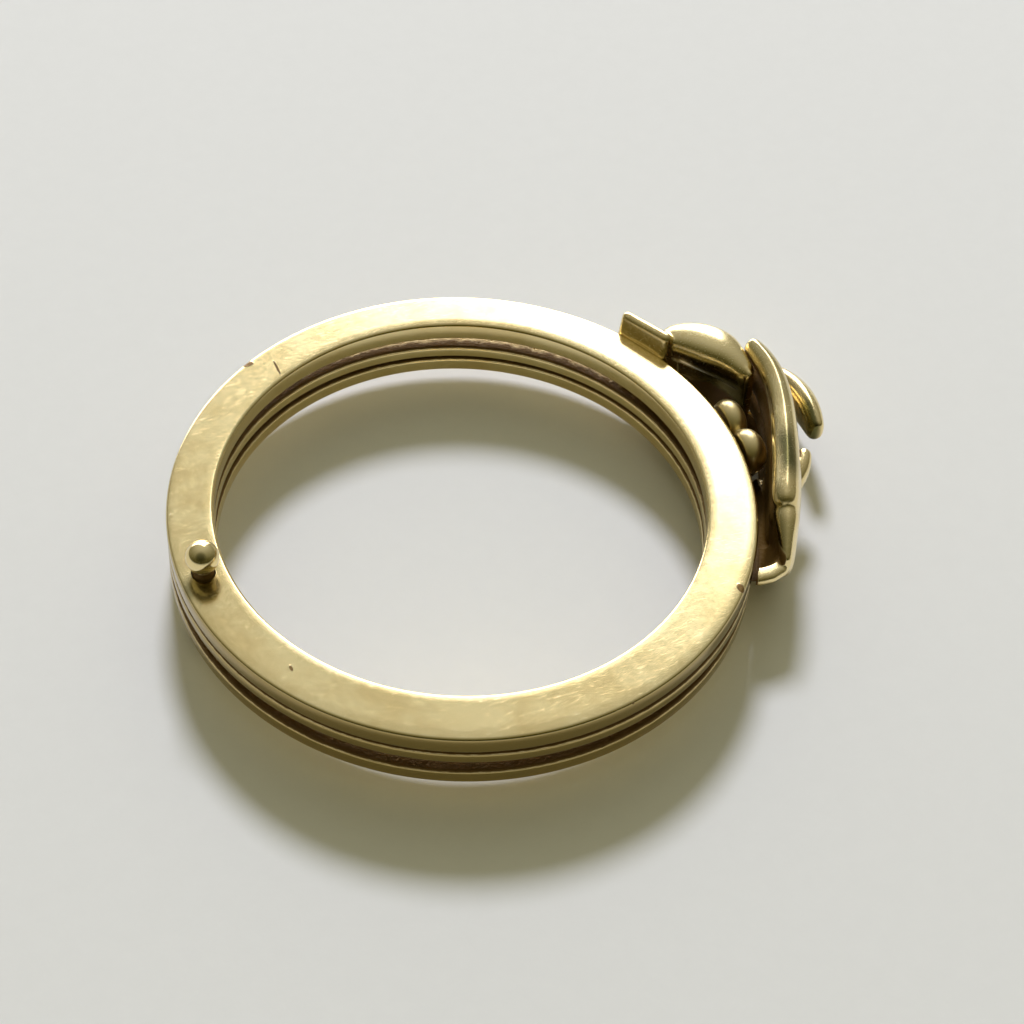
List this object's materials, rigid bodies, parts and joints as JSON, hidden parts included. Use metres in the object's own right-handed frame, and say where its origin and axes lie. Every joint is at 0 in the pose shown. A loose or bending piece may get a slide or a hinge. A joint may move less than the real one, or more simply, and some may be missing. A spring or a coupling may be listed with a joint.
{
  "type": "gold ring",
  "caption": "Yellow gold ring of flat hoops that turn on a rivet, with two clasped hands that cover a small heart on the middle hoop.",
  "frame": {"origin": "centre of the finger hole, halfway up the closed stack of hoops", "axes": "+Z along the finger hole, +X from the rivet to the middle of the clasped hands, +Y towards the hand on the upper hoop"},
  "size_m": [0.0247, 0.0203, 0.0048],
  "materials": {
    "yellow_gold": "worn polish with fine scratches"
  },
  "bodies": {
    "middle": {"middle_hoop": "yellow_gold", "rivet": "yellow_gold"},
    "upper": {"upper_hoop": "yellow_gold"},
    "lower": {"lower_hoop": "yellow_gold"}
  },
  "joints": [
    {"name": "upper_swing", "type": "hinge", "parent": "middle", "child": "upper", "pos_m": [-0.00934, 0, 0], "axis": [0, 0, 1], "range_deg": [0, 110]},
    {"name": "lower_swing", "type": "hinge", "parent": "middle", "child": "lower", "pos_m": [-0.00934, 0, 0], "axis": [0, 0, -1], "range_deg": [0, 110]}
  ]
}
